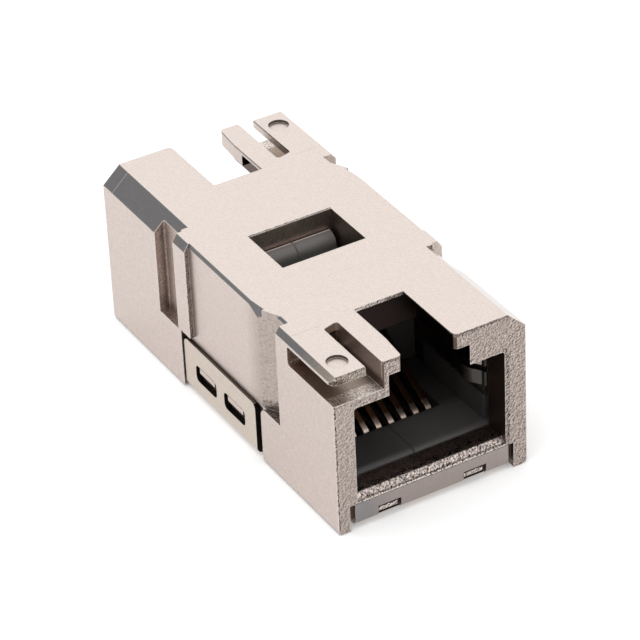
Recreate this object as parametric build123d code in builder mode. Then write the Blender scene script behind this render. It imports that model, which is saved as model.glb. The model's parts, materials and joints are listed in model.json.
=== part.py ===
from build123d import *
import os

os.makedirs("parts", exist_ok=True)

# Frame: X across the ports, Y from the near port to the far port, Z up.
# The origin is at the middle of the footprint, at the feet.
# Both ends are alike after half a turn about Z. Sizes called depth run inwards from an end face.
# Seen from its own mouth, each port has its slim side at -X and its wide side at +X.

# Clearance between pieces that fit together, and how far cuts run past the surface
fit = 0.05
beyond = 1.0

# Port mouth and latch keyway
port_width = 12.0
port_ceiling = 10.0
port_corner = 0.25
sill_top = 2.6
sill_drop = 0.48
sill_ramp = 0.55
mouth_depth = 2.2
keyway_wide = 6.44
keyway_rise = 1.65
keyway_narrow = 4.0
keyway_depth = 6.47
keyway_flare = 0.2
prong_flare_depth = 2.3
hook_start = 3.5
hook_end = 6.9
hook_skin = 0.35
block_corner = 0.4

# Walls around the hollow, from the inside out
spring_room = 0.2
base_step = 0.43
base_wall = 0.72
slim_step = 0.2
wide_step = 0.35
roof = 2.9
base_top = 4.9
base_end = 10.5

# Outer form of the housing
body_length = 32.2
wide_depth = 10.8
slim_depth = 10.3
wide_chamfer = (1.43, 1.3)
slim_chamfer = (0.35, 0.45)
waist_chamfer = (0.16, 0.3)
foot_radius = 0.3
heel_radius = 0.4
shoulder_radius = 0.7

# Spring tongue, slot and prong beside the keyway
pocket_height = 1.53
pocket_depth = 6.05
pocket_corner = 0.3
tongue_thickness = 0.65
tongue_gap = 0.1
tongue_corner = 0.6
tongue_edge = 0.15
prong_wall = 0.44
slot_width = 1.24
slot_depth = 5.9
slot_slant = 0.35
slot_corner = 0.25
prong_corner = 0.2
dimple_radius = 0.77
dimple_sink = 0.22
dimple_x = 6.1
dimple_depth = 1.8

# Window in the top
window_width = 6.74
window_length = 4.75
window_shift = -0.12

# Grooves and raised strips on the sides
wide_groove_cut = 0.85
wide_groove_start = 7.72
wide_groove_end = 10.5
wide_groove_corner = 0.15
wide_groove_bottom = 4.9
slim_groove_cut = 0.65
slim_groove_start = 7.55
slim_groove_bottom = 4.7
slim_groove_flat = 1.35
slim_groove_slope = (0.5, 1.0)
slim_groove_chamfer = 0.2
flare_start = 11.4
flare_end = 9.9
flare_chamfer = (0.35, 0.95)
strip_end = 12.2
strip_bottom = 5.0
strip_chamfer = (0.4, 0.6)

# Sheet cover
sheet = 0.35
cover_drop = 0.28
bend_radius = 0.5
flange_drop = 0.07
flange_set = 0.02
flap_step = 0.25
flap_top = 4.5
flap_end_gap = 0.2
flap_corner = 0.5
flap_air = 0.1
flap_clearance = 0.08
relief_width = 0.4
notch_width = 1.85
notch_spacing = 6.9
notch_top = 1.25
notch_reach = 0.05
flap_window_length = 3.0
flap_window_bottom = 1.62
flap_window_top = 3.0
flap_window_corner = 0.4
catch_spacing = 4.06
catch_length = 2.1
catch_bottom = 2.05
catch_play = 0.04
catch_recess = 0.08
catch_slope = 0.35
nib_height = 0.4

# Contact carriers
floor_rise = 0.2
floor_nose = 0.5
side_wall = 0.66
bed_width = 8.7
bed_start = 5.85
bed_end = 12.0
bed_floor = 1.35
comb_room = 0.4
comb_top = 8.2
comb_width = 0.6
catch_nose_width = 6.2
catch_nose_rise = 1.3
catch_nose_length = 0.95
catch_nose_setback = 1.2
catch_nose_radius = 0.8
joint_chamfer = 0.08
passage_width = 0.52
foot_room = 0.75

# Circuit board between the carriers
board_thickness = 1.6
board_headroom = 0.6
board_bottom = 0.9

# Contact springs
contact_count = 8
contact_pitch = 1.02
wire_width = 0.42
wire_thickness = 0.3
wire_level = 1.6
bend_tip = 6.0
bend_size = 0.6
rise_angle = 28.0
rise_reach = 12.9
tail_length = 0.9
tail_angle = 12.0
solder_foot = 1.1

# Shield springs
leaf = 0.15
leaf_start = 2.28
leaf_end = 9.0
leaf_fold = 0.13
leaf_top = 9.6
finger_count = 2
finger_height = 1.15
finger_pitch = 1.65
finger_low = 5.85
finger_radius = 0.3
finger_angle = 35.0
finger_ramp = 0.7
bow_radius = 1.3
return_angle = 14.0
finger_tail = 1.8

# Worked out from the sizes above
half_length = body_length / 2
body_height = port_ceiling + roof
cavity_half = port_width / 2 + spring_room
base_half = cavity_half + base_step
waist_half = base_half + base_wall
slim_half = waist_half + slim_step
wide_half = waist_half + wide_step
sill_lip = sill_top - sill_drop
keyway_step = port_ceiling + keyway_rise
tongue_bottom = body_height - tongue_thickness
pocket_floor = tongue_bottom - pocket_height
slot_inner = keyway_wide / 2 + prong_wall
tongue_inner = slot_inner + slot_width
wide_groove_floor = wide_half - wide_groove_cut
slim_groove_floor = waist_half - slim_groove_cut
seat = cover_drop + sheet
bend_inside = bend_radius - sheet
flange_top = sill_lip - flange_drop
flap_half = waist_half + flap_step
flap_seat = flap_half - sheet - flap_air
flap_room = flap_top + flap_clearance
flap_length = 2 * (half_length - wide_depth - flap_end_gap)
floor_top = sill_top + floor_rise
carrier_end = half_length - board_thickness / 2 - fit
catch_nose_end = half_length - catch_nose_setback
catch_nose_start = catch_nose_end - catch_nose_length
catch_nose_top = port_ceiling + catch_nose_rise
board_top = port_ceiling - board_headroom


def end_planes(depth=0.0):
    """Upright planes at one depth behind each mouth, facing out of it."""
    y = half_length - depth
    near = Plane((0, -y, 0), x_dir=(1, 0, 0), z_dir=(0, -1, 0))
    far = Plane((0, y, 0), x_dir=(-1, 0, 0), z_dir=(0, 1, 0))
    return near, far


def levels(z):
    """Level planes at one height for the near half and, turned half a turn, for the far half."""
    return Plane.XY.offset(z), Plane((0, 0, z), x_dir=(-1, 0, 0), z_dir=(0, 0, 1))


def side_planes(x):
    """Upright planes along the ports at one near x, with depth and height as their axes."""
    near = Plane((x, -half_length, 0), x_dir=(0, 1, 0), z_dir=(1, 0, 0))
    far = Plane((-x, half_length, 0), x_dir=(0, -1, 0), z_dir=(-1, 0, 0))
    return near, far


def row(depth):
    """Y of a depth behind the near mouth."""
    return depth - half_length


# Housing: one casting
with BuildPart() as housing:
    # Waist between the two blocks
    cut_x, cut_z = waist_chamfer
    with BuildSketch(end_planes(slim_depth)[0]):
        Polygon(
            (-waist_half, seat), (waist_half, seat),
            (waist_half, body_height - cut_z), (waist_half - cut_x, body_height),
            (cut_x - waist_half, body_height), (-waist_half, body_height - cut_z),
            align=None,
        )
    extrude(amount=-(body_length - 2 * slim_depth))

    # Wide half of each end block, with the broad chamfer
    cut_x, cut_z = wide_chamfer
    with BuildSketch(*end_planes()):
        Polygon(
            (0, 0), (wide_half, 0), (wide_half, body_height - cut_z),
            (wide_half - cut_x, body_height), (0, body_height),
            align=None,
        )
    extrude(amount=-wide_depth)

    # Slim half of each end block
    cut_x, cut_z = slim_chamfer
    with BuildSketch(*end_planes()):
        Polygon(
            (0, 0), (0, body_height), (cut_x - slim_half, body_height),
            (-slim_half, body_height - cut_z), (-slim_half, 0),
            align=None,
        )
    extrude(amount=-slim_depth)

    # Raised strip on the waist beside the wide block
    cut_x, cut_z = strip_chamfer
    with BuildSketch(*end_planes(slim_depth)):
        Polygon(
            (cavity_half, strip_bottom), (wide_half, strip_bottom),
            (wide_half, body_height - cut_z), (wide_half - cut_x, body_height),
            (cavity_half, body_height),
            align=None,
        )
    extrude(amount=slim_depth - strip_end)

    # Upright groove in the wide side, open at the chamfer
    with BuildSketch(*levels(wide_groove_bottom)):
        with BuildLine():
            inner = (wide_groove_floor, row(wide_groove_start))
            FilletPolyline(
                (wide_half + beyond, inner[1]), inner, (wide_groove_floor, row(wide_groove_end)),
                radius=wide_groove_corner,
            )
            Polyline(
                (wide_groove_floor, row(wide_groove_end)), (wide_half + beyond, row(wide_groove_end)),
                (wide_half + beyond, inner[1]),
            )
        make_face()
    extrude(amount=body_height, mode=Mode.SUBTRACT)

    # Upright groove in the slim side, with a sloped rear wall
    slope_x, slope_y = slim_groove_slope
    slope_start = slim_groove_start + slim_groove_flat
    with BuildSketch(*levels(slim_groove_bottom)):
        Polygon(
            (-slim_half - beyond, row(slim_groove_start)), (-slim_groove_floor, row(slim_groove_start)),
            (-slim_groove_floor, row(slope_start)),
            (-slim_groove_floor - slope_x, row(slope_start + slope_y)),
            (-waist_half, row(slim_depth)), (-slim_half - beyond, row(slim_depth)),
            align=None,
        )
    extrude(amount=body_height, mode=Mode.SUBTRACT)

    groove_tops = (
        housing.edges().filter_by(Axis.Y).group_by(Axis.Z)[-1]
        .filter_by(lambda e: abs(abs(e.center().X) - slim_groove_floor) < 0.01)
    )
    chamfer(groove_tops, slim_groove_chamfer)

    # The chamfer of the waist widens beside this groove
    for end in (0, 1):
        for depth, (cut_x, cut_z) in ((flare_start, waist_chamfer), (flare_end, flare_chamfer)):
            with BuildSketch(end_planes(depth)[end]):
                Polygon(
                    (-waist_half, body_height - cut_z), (cut_x - waist_half, body_height),
                    (-waist_half, body_height),
                    align=None,
                )
        loft(mode=Mode.SUBTRACT)

    # Rounded shoulder of the slim block under its groove
    with BuildSketch(*side_planes(-slim_half)):
        with Locations((slim_depth, slim_groove_bottom)):
            Rectangle(shoulder_radius, shoulder_radius, align=(Align.MAX, Align.MAX))
        with Locations((slim_depth - shoulder_radius, slim_groove_bottom - shoulder_radius)):
            Circle(shoulder_radius, mode=Mode.SUBTRACT)
    extrude(amount=slim_half - waist_half, mode=Mode.SUBTRACT)

    # Hollow for the carriers: wide at the base, narrower above, closed by the cover
    with BuildSketch(Plane.XY):
        Rectangle(2 * base_half, body_length)
    extrude(amount=seat, mode=Mode.SUBTRACT)
    base_length = base_end - mouth_depth
    with BuildSketch(*levels(seat)):
        with Locations((0, row(mouth_depth + base_length / 2))):
            Rectangle(2 * base_half, base_length)
    extrude(amount=base_top - seat, mode=Mode.SUBTRACT)
    with BuildSketch(Plane.XY.offset(seat)):
        Rectangle(2 * cavity_half, body_length - 2 * mouth_depth)
    extrude(amount=port_ceiling - seat, mode=Mode.SUBTRACT)

    # Port mouth and the wide step of the keyway
    with BuildSketch(*end_planes()):
        with Locations((0, sill_top)):
            Rectangle(port_width, port_ceiling - sill_top, align=(Align.CENTER, Align.MIN))
        fillet(vertices().group_by(Axis.Y)[-1], port_corner)
    extrude(amount=-mouth_depth, mode=Mode.SUBTRACT)
    with BuildSketch(*end_planes()):
        with Locations((0, port_ceiling - port_corner)):
            keyway_height = keyway_step - port_ceiling + port_corner
            Rectangle(keyway_wide, keyway_height, align=(Align.CENTER, Align.MIN))
    extrude(amount=-hook_end, mode=Mode.SUBTRACT)

    # Room above the keyway step for the hooks of the plug's latch
    hook_length = hook_end - hook_start
    with BuildSketch(*levels(port_ceiling)):
        with Locations((0, row(hook_start + hook_length / 2))):
            Rectangle(keyway_wide, hook_length)
    extrude(amount=body_height - hook_skin - port_ceiling, mode=Mode.SUBTRACT)

    # Narrow notch of the keyway through the top, flared at the prong
    with BuildSketch(*levels(port_ceiling)):
        half = keyway_narrow / 2
        Polygon(
            (-half - keyway_flare, row(0)), (half, row(0)), (half, row(keyway_depth)),
            (-half, row(keyway_depth)), (-half, row(prong_flare_depth)),
            align=None,
        )
    extrude(amount=body_height, mode=Mode.SUBTRACT)

    # Lead-in ramp of the sill
    with BuildSketch(Plane.YZ):
        for side in (-1, 1):
            Polygon(
                (side * half_length, sill_lip), (side * half_length, sill_top),
                (side * (half_length - sill_ramp), sill_top),
                align=None,
            )
    extrude(amount=port_width / 2, both=True, mode=Mode.SUBTRACT)

    # Pocket under the spring tongue, open at the mouth and at the side
    with BuildSketch(*end_planes()):
        with Locations((-slot_inner, pocket_floor)):
            Rectangle(
                slim_half - slot_inner + beyond, tongue_bottom - pocket_floor, align=(Align.MAX, Align.MIN)
            )
    extrude(amount=-pocket_depth, mode=Mode.SUBTRACT)
    pocket_ends = (
        housing.edges().filter_by(Axis.X)
        .filter_by(lambda e: abs(abs(e.center().Y) - half_length + pocket_depth) < 0.01)
        .filter_by(lambda e: e.center().Z > pocket_floor - 0.01 and abs(e.center().X) > slot_inner)
    )
    fillet(pocket_ends, min(pocket_corner, pocket_height / 3))

    # Slot between tongue and prong, with a slanted end
    with BuildSketch(*levels(pocket_floor)):
        Polygon(
            (-slot_inner, row(0)), (-slot_inner, row(slot_depth)),
            (-tongue_inner, row(slot_depth - slot_slant)), (-tongue_inner, row(0)),
            align=None,
        )
        fillet(vertices().sort_by(Axis.Y)[2:], slot_corner)
    extrude(amount=body_height, mode=Mode.SUBTRACT)

    # Tip of the tongue: a little behind the mouth, broadly rounded at the outer corner
    tip = row(tongue_gap)
    with BuildSketch(*levels(pocket_floor)):
        Polygon(
            (-slot_inner, row(0)), (-slot_inner, tip + tongue_corner), (-tongue_inner, tip + tongue_corner),
            (-tongue_inner, tip), (-slim_half, tip), (-slim_half, tip + 2 * tongue_corner),
            (-slim_half - beyond, tip + 2 * tongue_corner), (-slim_half - beyond, row(0)),
            align=None,
        )
        outer, inner = vertices().group_by(Axis.Y)[1].sort_by(Axis.X)
        fillet(outer, tongue_corner)
        fillet(inner, tongue_edge)
    extrude(amount=body_height, mode=Mode.SUBTRACT)
    tip_edges = (
        housing.edges().filter_by(Axis.X).group_by(Axis.Z)[-1]
        .filter_by(lambda e: abs(half_length - tongue_gap - abs(e.center().Y)) < 0.01)
    )
    fillet(tip_edges, tongue_edge)

    # Ejector mark on the tongue
    with BuildSketch(*levels(body_height)):
        with Locations((-dimple_x, row(dimple_depth))):
            Circle(dimple_radius)
    extrude(amount=-dimple_sink, mode=Mode.SUBTRACT)

    # Window in the top
    with BuildSketch(Plane.XY.offset(port_ceiling)):
        with Locations((0, window_shift)):
            Rectangle(window_width, window_length)
    extrude(amount=body_height, mode=Mode.SUBTRACT)

    # Room for the flaps of the cover on the waist
    flap_gap = body_length - wide_depth - slim_depth
    with BuildSketch(*levels(seat)):
        with Locations((-flap_seat, row(slim_depth))):
            Rectangle(waist_half, flap_gap, align=(Align.MAX, Align.MIN))
    extrude(amount=flap_room - seat, mode=Mode.SUBTRACT)

    # Recess behind each end flange of the cover
    with BuildSketch(*end_planes()):
        Rectangle(2 * base_half, sill_lip, align=(Align.CENTER, Align.MIN))
    extrude(amount=-(flange_set + sheet), mode=Mode.SUBTRACT)

    # Edges broken where the bends of the cover lie
    bend_edges = housing.edges().filter_by(lambda e: abs(e.center().Z - seat) < 0.01)
    flange_bends = bend_edges.filter_by(Axis.X).filter_by(
        lambda e: abs(abs(e.center().Y) - half_length + flange_set + sheet) < 0.01
    )
    flap_bends = bend_edges.filter_by(Axis.Y).filter_by(lambda e: abs(abs(e.center().X) - flap_seat) < 0.01)
    chamfer(flange_bends + flap_bends, bend_inside)

    # Nibs in the notches of the end flanges
    with BuildSketch(*end_planes(flange_set + sheet)):
        with Locations((0, notch_top - catch_play)):
            with GridLocations(notch_spacing, 0, 2, 1):
                Rectangle(notch_width - 2 * fit, nib_height, align=(Align.CENTER, Align.MAX))
    extrude(amount=sheet - flange_set)

    # Lugs in the windows of the flaps: flat on top, ramped below
    catch_top = flap_window_top - catch_play
    catch_face = flap_half - catch_recess
    with BuildSketch(Plane.XZ.offset(-catch_spacing / 2), Plane.XZ.offset(catch_spacing / 2)):
        for side in (-1, 1):
            Polygon(
                (side * cavity_half, catch_top), (side * catch_face, catch_top),
                (side * catch_face, catch_bottom + catch_slope), (side * flap_seat, catch_bottom),
                (side * cavity_half, catch_bottom),
                align=None,
            )
    extrude(amount=catch_length / 2, both=True)

    # Rounded mouth corners of each wide block and each prong
    mouth_edges = housing.edges().filter_by(Axis.Z).filter_by(
        lambda e: abs(abs(e.center().Y) - half_length) < 0.01 and e.center().Z > port_ceiling
    )
    prong_faces = (slot_inner, keyway_narrow / 2 + keyway_flare)
    block_corners = mouth_edges.filter_by(lambda e: abs(abs(e.center().X) - keyway_narrow / 2) < 0.01)
    prong_corners = mouth_edges.filter_by(
        lambda e: min(abs(abs(e.center().X) - x) for x in prong_faces) < 0.01
    )
    fillet(block_corners, block_corner)
    fillet(prong_corners, prong_corner)

    # Rounded heel of each wide block
    with BuildSketch(*side_planes(base_half)):
        with Locations((wide_depth, 0)):
            Rectangle(heel_radius, heel_radius, align=(Align.MAX, Align.MIN))
        with Locations((wide_depth - heel_radius, heel_radius)):
            Circle(heel_radius, mode=Mode.SUBTRACT)
    extrude(amount=wide_half, mode=Mode.SUBTRACT)

    # Rounded feet
    foot = min(foot_radius, (slim_half - base_half) / 3)
    for side, corner, depth in ((-1, slim_half, slim_depth), (1, wide_half, wide_depth)):
        with BuildSketch(*end_planes()):
            with Locations((side * (corner - foot / 2), foot / 2)):
                Rectangle(foot, foot)
            with Locations((side * (corner - foot), foot)):
                Circle(foot, mode=Mode.SUBTRACT)
        extrude(amount=-depth, mode=Mode.SUBTRACT)
housing.part.label = "housing"
export_step(housing.part, "parts/housing.step")

# Sheet cover: folded up at both ends and on both sides
with BuildPart() as bottom_cover:
    # Floor plate with the two end flanges
    edge_y = half_length - flange_set
    with BuildSketch(Plane.YZ):
        with BuildLine():
            fold = FilletPolyline(
                (-edge_y, flange_top), (-edge_y, cover_drop), (edge_y, cover_drop), (edge_y, flange_top),
                radius=bend_radius,
            )
            offset(fold, amount=sheet, side=Side.LEFT)
        make_face()
    extrude(amount=cavity_half, both=True)

    # Wings of the floor plate with the two side flaps
    with BuildSketch(Plane.XZ):
        with BuildLine():
            fold = FilletPolyline(
                (-flap_half, flap_top), (-flap_half, cover_drop),
                (flap_half, cover_drop), (flap_half, flap_top),
                radius=bend_radius,
            )
            offset(fold, amount=sheet, side=Side.LEFT)
        make_face()
    extrude(amount=flap_length / 2, both=True)
    flap_corners = (
        bottom_cover.edges().filter_by(Axis.X).group_by(Axis.Z)[-1]
        .filter_by(lambda e: abs(abs(e.center().Y) - flap_length / 2) < 0.01)
    )
    fillet(flap_corners, flap_corner)

    # Windows of the side flaps
    with BuildSketch(Plane.YZ):
        with Locations((0, (flap_window_bottom + flap_window_top) / 2)):
            with GridLocations(catch_spacing, 0, 2, 1):
                RectangleRounded(
                    flap_window_length, flap_window_top - flap_window_bottom, flap_window_corner
                )
    extrude(amount=flap_half + beyond, both=True, mode=Mode.SUBTRACT)

    # Notches of the end flanges, open through the bend
    with BuildSketch(*end_planes()):
        with GridLocations(notch_spacing, 0, 2, 1):
            Rectangle(notch_width, 2 * notch_top)
    extrude(amount=-(flange_set + sheet + notch_reach), mode=Mode.SUBTRACT)

    # Relief cuts beside the side bends
    with BuildSketch(Plane.XY):
        with GridLocations(2 * cavity_half, flap_length + relief_width, 2, 2):
            Rectangle(2 * relief_width, relief_width)
    extrude(amount=seat + sheet, mode=Mode.SUBTRACT)
bottom_cover.part.label = "bottom_cover"
export_step(bottom_cover.part, "parts/bottom_cover.step")

# Contact carrier: the right half of the near one, from which the other three are turned or mirrored
contact_places = [(n + 0.5) * contact_pitch for n in range(contact_count // 2)]
base_outer = base_half - fit
block_outer = cavity_half - fit
with BuildPart() as carrier_half:
    # Port floor with a rounded front edge, down to the cover
    with BuildSketch(Plane.YZ):
        with Locations((row(mouth_depth + fit), seat)):
            floor_face = Rectangle(
                carrier_end - mouth_depth - fit, floor_top - seat, align=(Align.MIN, Align.MIN)
            )
        front_top = floor_face.vertices().sort_by(Axis.X)[:2].sort_by(Axis.Y)[-1]
        fillet(front_top, floor_nose)
    extrude(amount=base_outer)

    # Low side wall beside the port floor
    with BuildSketch(Plane.XY.offset(floor_top)):
        with Locations((base_outer, row(mouth_depth + floor_nose))):
            Rectangle(side_wall, base_end - mouth_depth - floor_nose, align=(Align.MAX, Align.MIN))
    extrude(amount=base_top - fit - floor_top)

    # The base is narrower behind the side wall
    with BuildSketch(Plane.XY):
        with Locations((block_outer, row(base_end - fit))):
            Rectangle(base_half, half_length, align=(Align.MIN, Align.MIN))
    extrude(amount=base_top, mode=Mode.SUBTRACT)

    # Rear block that stops the plug
    with BuildSketch(Plane.XY.offset(floor_top)):
        with Locations((0, row(bed_end))):
            Rectangle(block_outer, carrier_end - bed_end, align=(Align.MIN, Align.MIN))
    extrude(amount=board_top - floor_top)
    with BuildSketch(Plane.XY.offset(board_top)):
        with Locations((0, row(bed_end))):
            Rectangle(block_outer, catch_nose_end - bed_end, align=(Align.MIN, Align.MIN))
    extrude(amount=port_ceiling - fit - board_top)

    # Catch nose that stands in the window, rounded towards the board
    with BuildSketch(Plane.YZ):
        with Locations((row(catch_nose_end), port_ceiling - fit)):
            nose_face = Rectangle(
                catch_nose_end - catch_nose_start, catch_nose_top - port_ceiling + fit,
                align=(Align.MAX, Align.MIN),
            )
        nose_corner = nose_face.vertices().sort_by(Axis.X)[2:].sort_by(Axis.Y)[-1]
        fillet(nose_corner, catch_nose_radius)
    extrude(amount=catch_nose_width / 2)

    # Contact bed behind the port floor
    with BuildSketch(Plane.XY.offset(bed_floor)):
        with Locations((0, row(bed_start))):
            Rectangle(bed_width / 2, bed_end - bed_start, align=(Align.MIN, Align.MIN))
    extrude(amount=floor_top - bed_floor, mode=Mode.SUBTRACT)

    # Comb slots for the free ends of the contacts
    with BuildSketch(Plane.XY.offset(bed_floor)):
        with Locations(*[(x, row(bed_end)) for x in contact_places]):
            Rectangle(comb_width, rise_reach + comb_room - bed_end, align=(Align.CENTER, Align.MIN))
    extrude(amount=comb_top - bed_floor, mode=Mode.SUBTRACT)

    # Passages for the lower legs, open to the cover, and room for the solder feet
    leg_top = wire_level + wire_thickness / 2 + fit
    with BuildSketch(Plane.XY):
        with Locations(*[(x, row(bed_end)) for x in contact_places]):
            Rectangle(passage_width, carrier_end - bed_end, align=(Align.CENTER, Align.MIN))
    extrude(amount=leg_top, mode=Mode.SUBTRACT)
    with BuildSketch(Plane.XY):
        with Locations((0, row(carrier_end))):
            Rectangle(bed_width / 2, foot_room, align=(Align.MIN, Align.MAX))
    extrude(amount=wire_level + solder_foot + foot_room / 2, mode=Mode.SUBTRACT)

    # Fine chamfer along the joint of the two halves
    joint_edges = (
        carrier_half.edges()
        .filter_by(lambda e: e.bounding_box().max.X < 0.001)
        .filter_by(lambda e: e.center().Y < row(bed_start) or e.center().Z > port_ceiling + fit)
        .filter_by(lambda e: e.center().Z > seat + fit)
    )
    chamfer(joint_edges, joint_chamfer)

carriers = {
    "near_carrier_right": carrier_half.part,
    "near_carrier_left": carrier_half.part.mirror(Plane.YZ),
}
carriers["far_carrier_left"] = carriers["near_carrier_right"].rotate(Axis.Z, 180)
carriers["far_carrier_right"] = carriers["near_carrier_left"].rotate(Axis.Z, 180)
for name, shape in carriers.items():
    shape.label = name
    export_step(shape, f"parts/{name}.step")

# Circuit board, upright between the two carriers
with BuildPart() as circuit_board:
    with BuildSketch(Plane.XY.offset(board_bottom)):
        Rectangle(2 * block_outer, board_thickness)
    extrude(amount=board_top - board_bottom)
circuit_board.part.label = "circuit_board"
export_step(circuit_board.part, "parts/circuit_board.step")

# Contacts: one bent wire for each place, near and far
foot_depth = half_length - (board_thickness + wire_thickness) / 2
bend_depth = bend_tip + wire_thickness / 2 + bend_size
for number in range(contact_count):
    place = (number - (contact_count - 1) / 2) * contact_pitch
    for end, plane in zip(("near", "far"), side_planes(place)):
        with BuildPart() as contact:
            with BuildSketch(plane):
                with BuildLine():
                    leg = FilletPolyline(
                        (foot_depth, wire_level + solder_foot), (foot_depth, wire_level),
                        (bend_depth, wire_level),
                        radius=wire_thickness,
                    )
                    bend = JernArc(
                        start=leg @ 1, tangent=leg % 1, radius=bend_size, arc_size=rise_angle - 180
                    )
                    rise_end = rise_reach - tail_length
                    rise = PolarLine(
                        start=bend @ 1, length=rise_end - (bend @ 1).X, angle=rise_angle,
                        length_mode=LengthMode.HORIZONTAL,
                    )
                    level_off = JernArc(
                        start=rise @ 1, tangent=rise % 1, radius=tail_length,
                        arc_size=tail_angle - rise_angle,
                    )
                    PolarLine(start=level_off @ 1, length=tail_length, angle=tail_angle)
                trace(line_width=wire_thickness)
            extrude(amount=wire_width / 2, both=True)
        contact.part.label = f"{end}_contact_{number + 1}"
        export_step(contact.part, f"parts/{contact.part.label}.step")

# Shield spring: the right one of the near port, folded at the mouth into two bowed fingers
with BuildPart() as spring:
    leaf_x = cavity_half - leaf / 2
    with BuildSketch(Plane.XY.offset(base_top + fit)):
        with BuildLine():
            back = Line((leaf_x, row(leaf_end)), (leaf_x, row(leaf_start + leaf_fold + leaf / 2)))
            fold = JernArc(start=back @ 1, tangent=back % 1, radius=leaf_fold, arc_size=-180)
            dive = JernArc(
                start=fold @ 1, tangent=fold % 1, radius=finger_radius, arc_size=finger_angle
            )
            ramp = PolarLine(start=dive @ 1, length=finger_ramp, direction=dive % 1)
            bow = JernArc(
                start=ramp @ 1, tangent=ramp % 1, radius=bow_radius,
                arc_size=-finger_angle - return_angle,
            )
            PolarLine(start=bow @ 1, length=finger_tail, direction=bow % 1)
        trace(line_width=leaf)
    extrude(amount=leaf_top - base_top - fit)

    # Gaps above, between and below the fingers
    finger_levels = [finger_low + n * finger_pitch for n in range(finger_count)]
    gap_bottoms = [base_top] + [z + finger_height for z in finger_levels]
    gap_tops = finger_levels + [leaf_top]
    for low, high in zip(gap_bottoms, gap_tops):
        with BuildSketch(Plane.XY.offset(low)):
            with Locations((cavity_half - leaf - fit / 2, row(0))):
                Rectangle(port_width / 2, half_length, align=(Align.MAX, Align.MIN))
        extrude(amount=high - low, mode=Mode.SUBTRACT)

springs = {"near_spring_right": spring.part, "near_spring_left": spring.part.mirror(Plane.YZ)}
springs["far_spring_left"] = springs["near_spring_right"].rotate(Axis.Z, 180)
springs["far_spring_right"] = springs["near_spring_left"].rotate(Axis.Z, 180)
for name, shape in springs.items():
    shape.label = name
    export_step(shape, f"parts/{name}.step")
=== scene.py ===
"""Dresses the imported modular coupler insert: finishes, softened edges, floor, light and camera."""

import json
import logging
import math
from collections.abc import Iterable
from dataclasses import dataclass, field
from enum import Enum
from typing import Self

import bpy
from mathutils import Matrix, Vector

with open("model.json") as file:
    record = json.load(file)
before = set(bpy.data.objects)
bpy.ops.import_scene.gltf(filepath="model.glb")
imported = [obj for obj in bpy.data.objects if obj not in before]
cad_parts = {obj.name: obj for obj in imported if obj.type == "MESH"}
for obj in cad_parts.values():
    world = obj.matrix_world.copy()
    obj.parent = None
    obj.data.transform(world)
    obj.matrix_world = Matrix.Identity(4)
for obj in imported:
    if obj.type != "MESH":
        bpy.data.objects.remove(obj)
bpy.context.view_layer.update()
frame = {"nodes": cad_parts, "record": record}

MM = 0.001
LOG = logging.getLogger("coupler")

WHITE = "FFFFFF"
# Nearly all the values of a noise texture lie between the outer two, about the middle one
NOISE_LOW, NOISE_MIDDLE, NOISE_HIGH = 0.3, 0.5, 0.7
NOISE_DETAIL = 3.0
# The cosine of a face that looks straight one way, with room for rounding
STRAIGHT = 1.1
# How far in millimetres a limit reaches beyond a face, so that the face lies inside it
SLACK = 0.1
# The same, where another face is near
FINE = 0.05
# A depth beyond the middle of the coupler, in millimetres
PAST_MIDDLE = 20.0

Colour = tuple[float, float, float, float]
Feed = bpy.types.Node | bpy.types.NodeSocket | float | tuple[float, ...] | None


def linear(hex_colour: str) -> Colour:
    """Turns an sRGB hex colour into linear light.

    Args:
        hex_colour: six hexadecimal digits.

    Returns:
        Red, green, blue and an alpha of 1.
    """
    channels = [int(hex_colour[i : i + 2], 16) / 255 for i in (0, 2, 4)]
    red, green, blue = (
        c / 12.92 if c <= 0.04045 else ((c + 0.055) / 1.055) ** 2.4 for c in channels
    )
    return red, green, blue, 1.0


@dataclass
class Graph:
    """A node tree, with one way to add a node."""

    tree: bpy.types.NodeTree

    def add(
        self, kind: str, *slots: Feed, named: dict[str, Feed] | None = None,
        **settings: str | int | bool,
    ) -> bpy.types.Node:
        """Adds one node with its settings and links.

        Args:
            kind: the node's type name after "ShaderNode".
            slots: values, sockets or nodes for the first inputs in order, None to leave one alone.
            named: values, sockets or nodes for inputs by name.
            settings: properties of the node itself.

        Returns:
            The new node.
        """
        node = self.tree.nodes.new("ShaderNode" + kind)
        for name, value in settings.items():
            setattr(node, name, value)
        fed = list(zip(node.inputs, slots))
        fed += [(node.inputs[name], value) for name, value in (named or {}).items()]
        for socket, value in fed:
            if isinstance(value, bpy.types.Node):
                value = value.outputs[0]
            if isinstance(value, bpy.types.NodeSocket):
                self.tree.links.new(value, socket)
            elif value is not None:
                socket.default_value = value
        return node


class Measure(Enum):
    """What a zone is measured by, as seen from the nearer mouth.

    A way gives its cosine with the face's direction, a place gives millimetres.
    """

    LOOKS_UP = "looks up"
    LOOKS_ASIDE = "looks towards the wide side"
    LOOKS_OUT = "looks out of the mouth"
    LOOKS_RIGHT = "looks along X"
    SIDE = "place towards the wide side"
    DEPTH = "place behind the mouth"
    HEIGHT = "place above the feet"


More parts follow.
